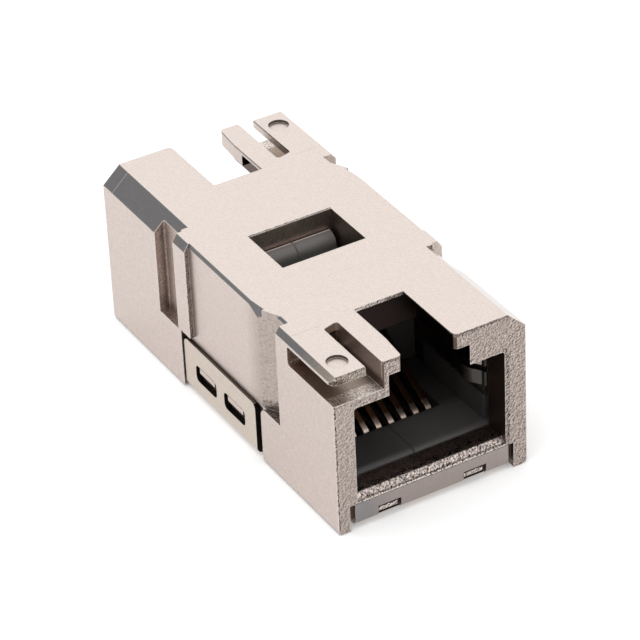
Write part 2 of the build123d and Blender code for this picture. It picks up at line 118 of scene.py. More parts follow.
@dataclass(frozen=True)
class Limit:
    """One limit of a zone: the band that lies inside it, and how softly or raggedly it ends."""

    by: Measure
    low: float
    high: float
    soft: float = 0.0
    ragged: float = 0.0

    @classmethod
    def span(cls, by: Measure, low: float, high: float, slack: float = SLACK) -> Self:
        """Gives the band from one place to another and a little beyond both.

        Args:
            by: what is measured.
            low: the lower place.
            high: the higher place.
            slack: how far the band reaches beyond them.

        Returns:
            The limit.
        """
        return cls(by, low - slack, high + slack)

    @classmethod
    def at(cls, by: Measure, place: float, slack: float = SLACK) -> Self:
        """Gives the narrow band about one place.

        Args:
            by: what is measured.
            place: the middle of the band.
            slack: how far the band reaches to either side.

        Returns:
            The limit.
        """
        return cls.span(by, place, place, slack)

    @classmethod
    def facing(cls, by: Measure, cosine: float) -> Self:
        """Gives the faces that look one way, or the opposite way.

        Args:
            by: the way that counts.
            cosine: where the band starts, below zero for the opposite way.

        Returns:
            The limit.
        """
        return cls(by, cosine, STRAIGHT) if cosine > 0 else cls(by, -STRAIGHT, cosine)


UP, ASIDE = Measure.LOOKS_UP, Measure.LOOKS_ASIDE
OUT, RIGHT = Measure.LOOKS_OUT, Measure.LOOKS_RIGHT
SIDE, DEPTH, HEIGHT = Measure.SIDE, Measure.DEPTH, Measure.HEIGHT

FACES_UP, FACES_DOWN = Limit.facing(UP, 0.9), Limit.facing(UP, -0.9)
FACES_WIDE, FACES_SLIM = Limit.facing(ASIDE, 0.9), Limit.facing(ASIDE, -0.9)
FACES_OUT = Limit.facing(OUT, 0.9)


@dataclass(frozen=True)
class Skin:
    """How one kind of surface looks: colour, roughness, share of the relief and of its speckle."""

    colour: str
    roughness: float
    relief: float = 0.1
    speckle: float = 0.1

    def traits(self) -> Colour:
        """Gives the roughness, relief and speckle as one colour, so that one node mixes them."""
        return self.roughness, self.relief, self.speckle, 1.0


@dataclass(frozen=True)
class Zone:
    """A skin and the limits within which it shows."""

    skin: Skin
    limits: tuple[Limit, ...]


@dataclass
class SurfacePoint:
    """The nodes that tell a material where on the coupler it is and which way the face looks."""

    graph: Graph
    half_length: float
    # Ragged ends wander to and fro over this many millimetres
    wander_size: float = 0.4
    measures: dict[Measure, bpy.types.Node | bpy.types.NodeSocket] = field(init=False)
    place: bpy.types.NodeSocket = field(init=False)
    wander: bpy.types.Node = field(init=False)

    def __post_init__(self) -> None:
        """Adds the nodes that every zone shares."""
        add = self.graph.add
        coords = add("TexCoord")
        self.place = add(
            "VectorMath", coords.outputs["Object"], named={"Scale": 1 / MM}, operation="SCALE",
        ).outputs[0]
        x, y, z = add("SeparateXYZ", self.place).outputs
        look_x, look_y, look_z = add("SeparateXYZ", coords.outputs["Normal"]).outputs
        # The coupler looks the same after half a turn, so each end is measured from its own mouth
        end = add("Math", y, operation="SIGN")
        turn = add("Math", 0.0, end, operation="SUBTRACT")
        reach = add("Math", y, operation="ABSOLUTE")
        self.wander = add(
            "TexNoise", self.place, named={"Scale": 1 / self.wander_size, "Detail": NOISE_DETAIL},
        )
        self.measures = {
            Measure.LOOKS_UP: look_z,
            Measure.LOOKS_ASIDE: add("Math", look_x, turn, operation="MULTIPLY"),
            Measure.LOOKS_OUT: add("Math", look_y, end, operation="MULTIPLY"),
            Measure.LOOKS_RIGHT: look_x,
            Measure.SIDE: add("Math", x, turn, operation="MULTIPLY"),
            Measure.DEPTH: add("Math", self.half_length, reach, operation="SUBTRACT"),
            Measure.HEIGHT: z,
        }

    def inside(self, zone: Zone) -> bpy.types.Node:
        """Adds the share, from 0 to 1, to which the point lies in a zone.

        Args:
            zone: the zone.

        Returns:
            The node with that share.
        """
        add = self.graph.add
        share = None
        for limit in zone.limits:
            value = self.measures[limit.by]
            # The wander averages a half, so a ragged band's middle moves by half its raggedness
            middle = (limit.low + limit.high + limit.ragged) / 2
            half = (limit.high - limit.low) / 2
            fade = limit.soft / 2
            if limit.ragged:
                value = add("Math", self.wander, limit.ragged, value, operation="MULTIPLY_ADD")
            if limit.soft:
                offset = add("Math", value, middle, operation="SUBTRACT")
                away = add("Math", offset, operation="ABSOLUTE")
                band = add("MapRange", away, half - fade, half + fade, 1.0, 0.0)
            else:
                band = add("Math", value, middle, half, operation="COMPARE")
            share = band if share is None else add("Math", share, band, operation="MULTIPLY")
        return share


@dataclass(frozen=True)
class Finish:
    """A finish: its skin, where other skins take over, its grain, painted corner shade and painted
    edge highlights.

    Its lengths are in millimetres.
    """

    name: str
    skin: Skin
    metallic: float
    # The width and height of the grains, and how much their slope shows as light and dark
    grain: float = 0.16
    grain_height: float = 0.01
    grain_roughness: float = 0.6
    slope_gain: float = 4.0
    # The mottle of the whole surface: its size, and its depth in tone and in gloss
    mottle: float = 0.6
    mottle_depth: float = 0.02
    gloss_depth: float = 0.03
    # The width of a softened edge, the colour of its painted highlight, and how much of that shows
    edge: float = 0.05
    edge_highlight_colour: str = "F2EAE4"
    edge_highlight_share: float = 0.0
    # The cosines between the softened and the true face at which the painted highlight starts and is
    # full
    highlight_start: float = 0.985
    highlight_full: float = 0.90
    # Skins darker than this, in linear light, get no painted edge highlight
    unhighlighted_below: float = 0.04
    # Inner corners are painted darker, as shade, to this tone over this reach
    corner: float = 0.3
    corner_shade_tone: float = 0.5
    # How open a point is, from 0 to 1, where that shade is full and where it ends
    corner_shade: tuple[float, float] = (0.3, 0.85)
    # How open it is where the painted highlight starts and where it is full
    corner_highlight: tuple[float, float] = (0.6, 0.9)
    # The rays that the softened edges and the corners take
    samples: int = 6
    # Half the coupler's length, from which the depths behind a mouth are counted
    half_length: float = 16.1

    def skins(self, here: SurfacePoint, zones: Iterable[Zone]) -> tuple[Feed, bpy.types.Node]:
        """Adds the skins, each one over those before it.

        Args:
            here: the point's place and the way its face looks.
            zones: where other skins take over.

        Returns:
            The colour, and the node that gives the roughness, relief and speckle.
        """
        add = here.graph.add
        colour: Feed = linear(self.skin.colour)
        traits: Feed = self.skin.traits()
        for zone in zones:
            share = here.inside(zone)
            colour = add("MixRGB", share, colour, linear(zone.skin.colour))
            traits = add("MixRGB", share, traits, zone.skin.traits())
        return colour, add("SeparateColor", traits)

    def grained(
        self, here: SurfacePoint, speckle: bpy.types.NodeSocket,
    ) -> tuple[bpy.types.Node, bpy.types.Node]:
        """Adds the grain, lit as if from one side by its slope over a quarter of a grain.

        Args:
            here: the point's place and the way its face looks.
            speckle: how strongly the grain shows in the tone.

        Returns:
            The grain, and what it adds to the tone.
        """
        add = here.graph.add
        size = {
            "Scale": 1 / self.grain, "Detail": NOISE_DETAIL, "Roughness": self.grain_roughness,
        }
        step = (self.grain / 4, self.grain / 8, -self.grain / 4)
        grain = add("TexNoise", here.place, named=size)
        beside = add("TexNoise", add("VectorMath", here.place, step, operation="ADD"), named=size)
        slope = add("Math", grain, beside, operation="SUBTRACT")
        gain = add("Math", speckle, self.slope_gain, operation="MULTIPLY")
        lit = add("Math", slope, gain, operation="MULTIPLY")
        blotch = add("Math", grain, NOISE_MIDDLE, operation="SUBTRACT")
        stain = add("Math", blotch, speckle, operation="MULTIPLY")
        return grain, add("Math", stain, lit, operation="ADD")

    def edged(self, graph: Graph, colour: bpy.types.Node) -> tuple[bpy.types.Node, bpy.types.Node]:
        """Paints shade into the inner corners, and a painted highlight along the outer edges.

        Args:
            graph: the tree it goes into.
            colour: the colour so far.

        Returns:
            The new colour, and the direction of the softened face.
        """
        add = graph.add
        rounding = add("Bevel", self.edge * MM, samples=self.samples)
        flatness = add(
            "VectorMath", rounding, add("NewGeometry").outputs["Normal"], operation="DOT_PRODUCT",
        ).outputs["Value"]
        highlight = add(
            "MapRange", flatness, self.highlight_start, self.highlight_full, 0.0, self.edge_highlight_share,
        )
        corner = add(
            "AmbientOcclusion", named={"Distance": self.corner * MM}, samples=self.samples,
            only_local=True,
        ).outputs["AO"]
        outer = add("MapRange", corner, *self.corner_highlight)
        highlight = add("Math", highlight, outer, operation="MULTIPLY")
        pale = add("MapRange", add("RGBToBW", colour), self.unhighlighted_below, 3 * self.unhighlighted_below)
        highlight = add("Math", highlight, pale, operation="MULTIPLY")
        shade = add("MapRange", corner, *self.corner_shade, self.corner_shade_tone, 1.0)
        shaded = add("MixRGB", 1.0, colour, shade, blend_type="MULTIPLY")
        return add("MixRGB", highlight, shaded, linear(self.edge_highlight_colour)), rounding

    def material(self, zones: Iterable[Zone] = ()) -> bpy.types.Material:
        """Builds the material.

        Args:
            zones: where other skins take over, each one over those before it.

        Returns:
            The finished material.
        """
        made = bpy.data.materials.new(self.name)
        made.use_nodes = True
        graph = Graph(made.node_tree)
        add = graph.add
        here = SurfacePoint(graph, self.half_length)
        colour, traits = self.skins(here, zones)
        roughness, relief_share, speckle = traits.outputs
        grain, lift = self.grained(here, speckle)

        # The tone: mottle and grain over the skins, then painted shade in the corners and painted
        # highlights on the edges
        cloud = add(
            "TexNoise", here.place, named={"Scale": 1 / self.mottle, "Detail": NOISE_DETAIL},
        )
        dull, bright = 1.0 - self.mottle_depth, 1.0 + self.mottle_depth
        tone = add("MapRange", cloud, NOISE_LOW, NOISE_HIGH, dull, bright)
        tone = add("Math", tone, lift, operation="ADD")
        colour = add("MixRGB", 1.0, colour, tone, blend_type="MULTIPLY")
        colour, rounding = self.edged(graph, colour)

        # The relief of the grain on the softened face, and the mottle's gloss
        relief = add("Bump", named={
            "Strength": relief_share, "Distance": self.grain_height * MM, "Height": grain,
            "Normal": rounding,
        })
        sheen = add("MapRange", cloud, NOISE_LOW, NOISE_HIGH, -self.gloss_depth, self.gloss_depth)
        gloss = add("Math", sheen, roughness, operation="ADD")
        shader = graph.tree.nodes["Principled BSDF"]
        for socket, value in {"Base Color": colour, "Roughness": gloss, "Normal": relief}.items():
            graph.tree.links.new(value.outputs[0], shader.inputs[socket])
        shader.inputs["Metallic"].default_value = self.metallic
        return made


@dataclass(frozen=True)
class CastNickel(Finish):
    """Zinc alloy, pressure die-cast, tumbled and nickel plated.

    The polished die leaves faces that read as an even, warm satin, painted paler on top and darker
    on the sides as light and shade. Its cores, slides and parting faces leave a grained skin, which
    the eye takes for fine sand, painted brown-black as shade inside the hollow. The outer edges
    carry a painted pale highlight.
    """

    name: str = "nickel_plated_zinc_casting"
    # Grained as cast: the die's own texture, about 0.12 mm, drawn a third coarser so that it shows
    skin: Skin = Skin("887C75", 0.45, 0.8, 0.9)
    metallic: float = 1.0
    grain: float = 0.16
    grain_height: float = 0.02
    mottle: float = 0.8
    mottle_depth: float = 0.012
    edge: float = 0.12
    edge_highlight_colour: str = "F4ECE6"
    edge_highlight_share: float = 0.75
    # The faces that the polished die leaves, painted paler on top and darker on the sides as light
    # and shade
    satin_top_lit: Skin = Skin("EBDED6", 0.34, 0.05, 0.09)
    satin_side_shaded: Skin = Skin("C8BBB4", 0.34, 0.08, 0.15)
    waist_shade: Skin = Skin("AEA19A", 0.36, 0.2, 0.18)
    # The chamfers carry a painted dark reflection, painted pale where they look along X and browner
    # near the front of the slim side
    chamfer: Skin = Skin("706E6E", 0.3, 0.05, 0.1)
    chamfer_lit: Skin = Skin("D8D2CE", 0.3, 0.05, 0.1)
    chamfer_front: Skin = Skin("94887F", 0.3, 0.1, 0.2)
    scratch: Skin = Skin("9A979A", 0.3, 0.0, 0.1)
    root_line: Skin = Skin("D9CCC4", 0.4, 0.0, 0.1)
    # The mouths, with their sills, and the tips of the tongues
    mouth: Skin = Skin("A1958E", 0.42, 0.65, 1.0)
    mouth_slim: Skin = Skin("A89C95", 0.42, 0.6, 0.7)
    mouth_rim: Skin = Skin("756A64", 0.42, 1.0, 1.8)
    leg_band: Skin = Skin("837A74", 0.38, 1.0, 1.9)
    # Grained, with a painted highlight on the sills' lips, on the nibs and at the top of the
    # keyway's back wall
    crest_highlight: Skin = Skin("B3A7A1", 0.36, 1.0, 1.6)
    # The sills are grained and painted dark brown, a painted reflection of the dark port
    sill: Skin = Skin("7A6A64", 0.4, 0.9, 2.0)
    sill_back: Skin = Skin("84726B", 0.4, 0.3, 0.8)
    tip: Skin = Skin("94897F", 0.3, 0.4, 1.2)
    tip_foot: Skin = Skin("5C504A", 0.3, 0.6, 1.4)
    # The hollow and the window, painted dark as their shade, with black painted shadow in the keyway
    # and under the nibs
    inner: Skin = Skin("5C4C45", 0.4, 0.1, 0.2)
    black: Skin = Skin("28201E", 0.35, 0.0, 0.2)
    window: Skin = Skin("BAA79D", 0.4, 0.2, 0.4)
    window_side_shade: Skin = Skin("8A7B73", 0.4, 0.2, 0.4)
    window_rim: Skin = Skin("6E625C", 0.4, 0.6, 1.2)
    # The spring tongue, its mark, its slot and the pocket under it
    under_tongue: Skin = Skin("D9C4AF", 0.4, 0.1, 0.2)
    # The mark's wall is painted dark as shade
    mark_wall_shade: Skin = Skin("5E524C", 0.35, 0.1, 0.2)
    edge_line: Skin = Skin("6B6461", 0.35, 0.2, 0.4)
    pocket: Skin = Skin("B0A196", 0.4, 0.1, 0.2)
    # The pocket is painted lighter deep in, against the tongue's shadow, and lighter still at its
    # front as the light that falls in there
    pocket_deep_lit: Skin = Skin("C6AA9B", 0.4, 0.1, 0.2)
    pocket_front_lit: Skin = Skin("E3D7CF", 0.38, 0.9, 0.9)
    slot_wall: Skin = Skin("D6CECA", 0.32, 0.2, 0.2)
    slot_foot: Skin = Skin("54463F", 0.32, 0.2, 0.2)
    slot_end: Skin = Skin("A69B92", 0.34, 0.2, 0.2)
    # The side grooves, the raised strips and the lugs
    groove: Skin = Skin("BFB1A9", 0.38, 0.7, 0.5)
    # Painted shade darkens the groove towards its inner corner
    groove_corner_shade: Skin = Skin("83766F", 0.38, 0.7, 0.5)
    groove_floor: Skin = Skin("CABDB5", 0.36, 0.3, 0.2)
    column: Skin = Skin("ACA099", 0.36, 0.2, 0.28)
    column_foot: Skin = Skin("867B75", 0.4, 1.0, 1.1)
    strip_end: Skin = Skin("877C77", 0.4, 0.8, 1.0)
    lug_shade: Skin = Skin("2A2421", 0.4, 0.1, 0.2)


@dataclass(frozen=True)
class PlatedSheet(Finish):
    """Cold-rolled steel strip, stamped and nickel plated.

    Its rolled faces are smoother than the casting and a shade darker. Its flanges are painted darker
    still as shade, and its sheared faces are painted dull and nearly black as shadow.
    """

    name: str = "nickel_plated_steel_sheet"
    # Rolling leaves a faint grain of about 0.1 mm
    skin: Skin = Skin("C8BCB1", 0.32, 0.08, 0.14)
    metallic: float = 1.0
    grain: float = 0.12
    grain_height: float = 0.006
    edge: float = 0.04
    edge_highlight_share: float = 0.5
    # The flanges that face out of the mouths are painted darker as shade, greyer towards the slim
    # side, and the cut faces are painted dark as shadow
    flange: Skin = Skin("9C918C", 0.3, 0.05, 0.12)
    flange_slim: Skin = Skin("8B8787", 0.3, 0.05, 0.12)
    cut: Skin = Skin("2A2421", 0.5, 0.2, 0.2)
    cut_top_shadow: Skin = Skin("6E635D", 0.5, 0.2, 0.2)


@dataclass(frozen=True)
class FilledPolyester(Finish):
    """Glass-filled polyester, injection moulded.

    The eye sees a dark grey satin rather than black, because the eroded mould breaks up its gloss.
    """

    name: str = "glass_filled_polyester_moulding"
    skin: Skin = Skin("474443", 0.42, 0.3, 0.08)
    metallic: float = 0.0
    # The eroded mould's grain is about 0.05 mm, drawn twice as coarse
    grain: float = 0.1
    grain_height: float = 0.006
    edge: float = 0.06
    edge_highlight_colour: str = "5A5756"
    edge_highlight_share: float = 0.5
    # The catch noses are painted paler as light, with a painted highlight on their rim, and the
    # walls and stops deep in the port are painted darker as shade
    nose: Skin = Skin("676361", 0.36, 0.2, 0.06)
    nose_rim_highlight: Skin = Skin("B2AAA4", 0.36, 0.1, 0.3)
    wall: Skin = Skin("3A3736", 0.45, 0.2, 0.06)
    stop: Skin = Skin("302C2B", 0.5, 0.2, 0.06)


@dataclass(frozen=True)
class GiltWire(Finish):
    """Phosphor bronze wire, drawn, nickel plated and gold flashed.

    It looks brown, with a painted pale gold highlight at the bend and along its edges.
    """

    name: str = "gold_flashed_bronze_wire"
    skin: Skin = Skin("5C3E2B", 0.4, 0.1, 0.1)
    metallic: float = 1.0
    # The die leaves marks about 0.03 mm wide along the wire, shown here three times as coarse
    grain: float = 0.1
    grain_height: float = 0.002
    edge: float = 0.05
    edge_highlight_colour: str = "E6CBB4"
    edge_highlight_share: float = 0.9
    # A painted highlight at the bend
    bend: Skin = Skin("F6E0D0", 0.4, 0.05, 0.05)


@dataclass(frozen=True)
class SpringStrip(Finish):
    """Stainless spring strip, rolled and stamped.

    It is painted a dull dark grey, a painted reflection of the dark port, lighter only on the ramps
    of the fingers near the mouth, where light is painted.
    """

    name: str = "rolled_stainless_spring_strip"
    # A dull dark grey as a painted reflection of the dark port, with painted light on the ramps
    skin: Skin = Skin("383533", 0.46, 0.1, 0.05)
    ramp_light: Skin = Skin("77736F", 0.46, 0.1, 0.05)
    ramp_top_light: Skin = Skin("CBC4BD", 0.46, 0.1, 0.05)
    fold: Skin = Skin("423E3C", 0.5, 0.1, 0.05)
    metallic: float = 1.0
    # Rolling leaves a faint grain of about 0.1 mm
    grain: float = 0.1
    grain_height: float = 0.003
    edge: float = 0.02
    edge_highlight_share: float = 0.2


@dataclass(frozen=True)
class MaskedLaminate(Finish):
    """Glass-cloth epoxy laminate under a green solder mask.

    The mask is glossy, and the cloth under it leaves it faintly uneven.
    """

    name: str = "solder_masked_glass_laminate"
    skin: Skin = Skin("2A6340", 0.3, 0.3, 0.1)
    metallic: float = 0.0
    # The cloth's threads lie about 0.4 mm apart
    grain: float = 0.4
    grain_height: float = 0.01
    edge: float = 0.05
    edge_highlight_colour: str = "B9A877"
    edge_highlight_share: float = 0.3


@dataclass
class Dressed:
    """A sub-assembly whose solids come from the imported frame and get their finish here."""

    slot: str
    finish: Finish

    def zones(self) -> list[Zone]:
        """Gives the zones of this sub-assembly: none unless it says otherwise."""
        return []

    def dress(self) -> None:
        """Dresses every node whose record names this material slot."""
        material = self.finish.material(self.zones())
        for part in frame["record"]["subparts"]:
            if part["material_slot"] != self.slot:
                continue
            node = frame["nodes"][part["node"]]
            node.data.materials.clear()
            node.data.materials.append(material)
            LOG.info("%s wears %s", node.name, material.name)


@dataclass(frozen=True)
class Groove:
    """A side groove: how far out its floor is, its start and end behind the mouth, and its foot."""

    floor: float
    start: float
    end: float
    foot: float


@dataclass(frozen=True)
class EjectorMark:
    """The round mark on a tongue: its place aside and behind the mouth, and its radius."""

    side: float
    depth: float
    radius: float


@dataclass
class Housing(Dressed):
    """The casting: its sizes in millimetres, for the zones that each tool of the die left and for
    its painted light and shade.

    Places aside count up towards the wide side, so those on the slim side have a minus. The bare
    numbers in the zones are reaches and places in millimetres that were read off the photograph,
    and for the ways that faces look, cosines.
    """

    slot: str = "satin_nickel"
    finish: CastNickel = CastNickel()
    height: float = 12.9
    waist_half: float = 7.35
    slim_half: float = 7.55
    wide_half: float = 7.7
    base_half: float = 6.63
    port_half: float = 6.0
    port_ceiling: float = 10.0
    sill_lip: float = 2.12
    sill_top: float = 2.6
    mouth_depth: float = 2.2
    keyway_half: float = 2.0
    keyway_depth: float = 6.47
    hook_end: float = 6.9
    slot_inner: float = 3.66
    tongue_inner: float = 4.9
    tongue_bottom: float = 12.25
    pocket_floor: float = 10.72
    pocket_depth: float = 6.05
    wide_groove: Groove = Groove(6.85, 7.72, 10.5, 4.9)
    slim_groove: Groove = Groove(6.7, 7.55, 10.3, 4.7)
    strip_end: float = 12.2
    nib_top: float = 1.21
    nib_side: float = 3.45
    lug_face: float = 7.52
    lug_top: float = 2.96
    chamfer_foot: float = 11.3
    window_half: float = 3.37
    window_depth: float = 13.6
    window_far: float = 13.845
    mark: EjectorMark = EjectorMark(6.1, 1.8, 0.77)

    def hollow(self) -> list[Zone]:
        """Gives the zones of the hollow: its walls and the window, painted dark as shade, and the
        keyway, with painted shadow and a painted highlight at the top of its back.
        """
        finish, top = self.finish, self.height
        window = (
            Limit.span(SIDE, -self.window_half, self.window_half, FINE),
            Limit(DEPTH, self.window_depth, PAST_MIDDLE),
            Limit(HEIGHT, self.port_ceiling - FINE, top), Limit.at(UP, 0.0, 0.5),
        )
        back_wall = (
            FACES_OUT, Limit.span(DEPTH, self.keyway_depth, self.hook_end),
            Limit(SIDE, -self.port_half, self.port_half),
        )
        return [
            Zone(finish.inner, (
                Limit.span(SIDE, -self.base_half, self.base_half, 0.03),
                Limit(HEIGHT, 0.5, top - 0.3),
            )),
            Zone(finish.window, window),
            Zone(finish.window_side_shade, (*window, Limit.at(OUT, 0.0, 0.3))),
            Zone(finish.black, back_wall),
            Zone(finish.crest_highlight, (*back_wall, Limit(HEIGHT, top - 0.3, top + SLACK, ragged=0.1))),
            Zone(finish.black, (
                FACES_SLIM, Limit(SIDE, self.keyway_half - SLACK, self.keyway_half + 1.3),
                Limit(HEIGHT, self.port_ceiling, top - 0.15, ragged=0.1),
            )),
        ]

    def tongue(self) -> list[Zone]:
        """Gives the zones of the tongue's pocket, its slot and the inner sides beside them, with
        painted light in the pocket and painted shade on the sides.
        """
        finish, top = self.finish, self.height
        pocket = (
            FACES_UP, Limit(SIDE, -self.slim_half, -self.slot_inner + 0.02),
            Limit.at(HEIGHT, self.pocket_floor),
        )
        slot = (FACES_SLIM, Limit.at(SIDE, -self.slot_inner, FINE))
        return [
            Zone(finish.under_tongue, (
                FACES_DOWN, Limit(SIDE, -self.slim_half, -self.tongue_inner + FINE),
                Limit.at(HEIGHT, self.tongue_bottom),
            )),
            Zone(finish.pocket, pocket),
            Zone(finish.pocket_deep_lit, (*pocket, Limit(DEPTH, 4.2, 9.0, soft=2.4))),
            Zone(finish.pocket_front_lit, (*pocket, Limit(DEPTH, -0.5, 1.1, soft=0.2, ragged=0.4))),
            Zone(finish.slot_wall, (*slot, Limit(HEIGHT, self.pocket_floor, top))),
            Zone(finish.slot_foot, (*slot, Limit(HEIGHT, 8.0, 11.5, soft=0.5, ragged=0.2))),
            Zone(finish.slot_end, (
                Limit.facing(OUT, 0.2), Limit(DEPTH, 5.2, 6.0),
                Limit(HEIGHT, self.pocket_floor, top),
                Limit.span(SIDE, -self.tongue_inner, -self.slot_inner, 0.02),
            )),
            Zone(finish.satin_side_shaded, (
                FACES_WIDE, Limit(SIDE, -self.keyway_half - 0.3, -self.keyway_half + SLACK),
                Limit(HEIGHT, self.port_ceiling + SLACK, top),
            )),
            Zone(finish.satin_side_shaded, (
                FACES_WIDE, Limit.at(SIDE, -self.tongue_inner),
                Limit(HEIGHT, self.tongue_bottom - SLACK, top),
            )),
            Zone(finish.edge_line, (
                FACES_WIDE, Limit.span(SIDE, -self.tongue_inner, -self.keyway_half),
                Limit(HEIGHT, top - 0.16, top + SLACK), Limit(DEPTH, -SLACK, self.keyway_depth),
            )),
        ]

    def sills(self) -> list[Zone]:
        """Gives the zones of the sill at the foot of each mouth, from its back to its rim, painted
        dark as a reflection of the port, with a painted highlight at its front.
        """
        finish = self.finish
        sill = (
            Limit.facing(UP, 0.3), Limit.span(SIDE, -self.port_half, self.port_half, 0.02),
            Limit(HEIGHT, self.sill_lip - SLACK, self.sill_top + FINE),
        )
        return [
            Zone(finish.sill_back, (*sill, Limit(DEPTH, 0.4, self.mouth_depth + SLACK))),
            Zone(finish.sill, (*sill, Limit(DEPTH, 0.4, 1.2, soft=0.3, ragged=0.3))),
            Zone(finish.crest_highlight, (*sill, Limit(DEPTH, -0.5, 0.7, soft=0.15, ragged=0.3))),
            Zone(finish.mouth_rim, (*sill, Limit(DEPTH, 0.1, 0.2, ragged=0.1))),
        ]

    def mouths(self) -> list[Zone]:
        """Gives the zones of the mouths' faces, with their legs, ragged rims and nibs, which carry a
        painted highlight and painted shadow.
        """
        finish, top = self.finish, self.height
        mouth = (FACES_OUT, Limit(DEPTH, -SLACK, 0.3))
        leg = Limit(HEIGHT, -SLACK, self.port_ceiling + 0.25)
        slim_leg = Limit.span(SIDE, -self.slim_half, -self.port_half)
        wide_leg = Limit(SIDE, self.port_half - SLACK, self.port_half + 0.35)
        top_rim = Limit(HEIGHT, top - 0.22, top + 0.2, ragged=0.3)
        slim_rim = Limit(SIDE, -self.slim_half - 0.3, -self.slim_half + 0.12, ragged=0.3)
        nib = (
            *mouth, Limit(HEIGHT, self.nib_top - 0.5, self.nib_top + 0.02),
            Limit(SIDE, -5.0, 5.0),
        )
        return [
            Zone(finish.mouth, mouth),
            Zone(finish.mouth_slim, (*mouth, slim_leg, leg)),
            Zone(finish.leg_band, (*mouth, wide_leg, leg)),
            Zone(finish.mouth_rim, (*mouth, top_rim)),
            Zone(finish.mouth_rim, (*mouth, slim_rim)),
            Zone(finish.crest_highlight, nib),
            Zone(finish.black, (*nib, Limit(HEIGHT, self.nib_top - 0.09, self.nib_top + SLACK))),
            *(
                Zone(finish.black, (*nib, Limit(SIDE, side + 0.6, side + 1.0)))
                for side in (self.nib_side, -self.nib_side)
            ),
        ]

    def tips(self) -> list[Zone]:
        """Gives the zones of each tongue's tip, darker at its outer foot."""
        finish = self.finish
        low = self.tongue_bottom - SLACK
        tip = (Limit.facing(OUT, 0.3), Limit(DEPTH, -SLACK, 0.8))
        return [
            Zone(finish.tip, (
                *tip, Limit(HEIGHT, low, self.height - 0.01),
                Limit.span(SIDE, -self.slim_half, -self.tongue_inner),
            )),
            Zone(finish.tip_foot, (
                *tip, Limit(HEIGHT, low, self.tongue_bottom + 0.38, soft=0.1, ragged=0.25),
                Limit(SIDE, -self.slim_half - 0.5, -self.slim_half + 1.0, soft=0.5),
            )),
        ]

    def grooves(self) -> list[Zone]:
        """Gives the zones of the side grooves, with painted shade in the inner corner, and of the
        raised strip's end.
        """
        finish, top = self.finish, self.height
        wide, slim = self.wide_groove, self.slim_groove
        column = (
            Limit(SIDE, -self.slim_half - 0.02, -slim.floor + FINE),
            Limit.span(DEPTH, slim.start, slim.end, FINE),
            Limit(HEIGHT, slim.foot - FINE, top + SLACK),
        )
        return [
            Zone(finish.groove, (
                Limit(SIDE, wide.floor - FINE, self.wide_half + 0.02),
                Limit.span(DEPTH, wide.start, wide.end, FINE),
                Limit(HEIGHT, wide.foot - FINE, top + SLACK),
            )),
            Zone(finish.groove_corner_shade, (
                Limit(SIDE, wide.floor - 0.3, wide.floor + 0.4, soft=0.3),
                Limit.facing(OUT, -0.5), Limit(DEPTH, wide.start - FINE, wide.start + 0.3),
                Limit(HEIGHT, wide.foot - FINE, top + SLACK),
            )),
            Zone(finish.groove_floor, (
                FACES_WIDE, Limit.at(SIDE, wide.floor, FINE),
                Limit(DEPTH, wide.start, wide.end), Limit(HEIGHT, wide.foot - FINE, 8.0, soft=3.0),
            )),
            Zone(finish.column, column),
            Zone(finish.column_foot, (*column, Limit(HEIGHT, 4.0, 5.4, soft=0.3, ragged=0.7))),
            Zone(finish.strip_end, (
                Limit.facing(OUT, -0.7), Limit.at(DEPTH, self.strip_end),
                Limit(SIDE, self.waist_half - FINE, self.wide_half + SLACK),
            )),
        ]

    def sides(self) -> list[Zone]:
        """Gives the zones of the flat sides, painted darker as shade, of the lugs' shaded tops and
        of the shaded waist.
        """
        finish, slim = self.finish, self.slim_groove
        lug_top = Limit(HEIGHT, self.lug_top - 0.13, self.lug_top + SLACK)
        straight_wide, straight_slim = Limit.facing(ASIDE, 0.97), Limit.facing(ASIDE, -0.97)
        return [
            Zone(finish.satin_side_shaded, (
                straight_wide, Limit(SIDE, self.waist_half - FINE, self.wide_half + SLACK),
            )),
            Zone(finish.satin_side_shaded, (
                straight_slim, Limit(SIDE, -self.slim_half - SLACK, -self.waist_half + FINE),
            )),
            *(
                Zone(finish.lug_shade, (Limit.at(SIDE, side, 0.03), lug_top))
                for side in (-self.lug_face, self.lug_face)
            ),
            Zone(finish.waist_shade, (
                straight_slim, Limit.at(SIDE, -self.waist_half, FINE),
                Limit(DEPTH, 9.0, slim.end + 0.9, soft=1.8), Limit(HEIGHT, slim.foot, self.height),
            )),
        ]

    def tops(self) -> list[Zone]:
        """Gives the zones of the flat top, painted paler as light, with the tongues' root lines and
        ejector marks.
        """
        finish, top, mark = self.finish, self.height, self.mark
        on_top = (Limit.facing(UP, 0.95), Limit(HEIGHT, top - FINE, top + SLACK))
        root = Limit(DEPTH, self.pocket_depth - 0.03, self.pocket_depth + 0.03, ragged=0.03)
        far_rim = Limit(DEPTH, self.window_far - 0.12, self.window_far + SLACK, ragged=0.25)
        round_mark = (
            Limit.span(SIDE, -mark.side - mark.radius, -mark.side + mark.radius),
            Limit.span(DEPTH, mark.depth - mark.radius, mark.depth + mark.radius),
            Limit(HEIGHT, top - 0.25, top - 0.02),
        )
        return [
            Zone(finish.satin_top_lit, on_top),
            Zone(finish.root_line, (
                *on_top, root, Limit(SIDE, -self.slim_half, -self.tongue_inner),
            )),
            Zone(finish.window_rim, (
                *on_top, Limit(SIDE, -self.window_half, self.window_half), far_rim,
            )),
            Zone(finish.mark_wall_shade, round_mark),
            Zone(finish.satin_top_lit, (*round_mark, FACES_UP)),
        ]

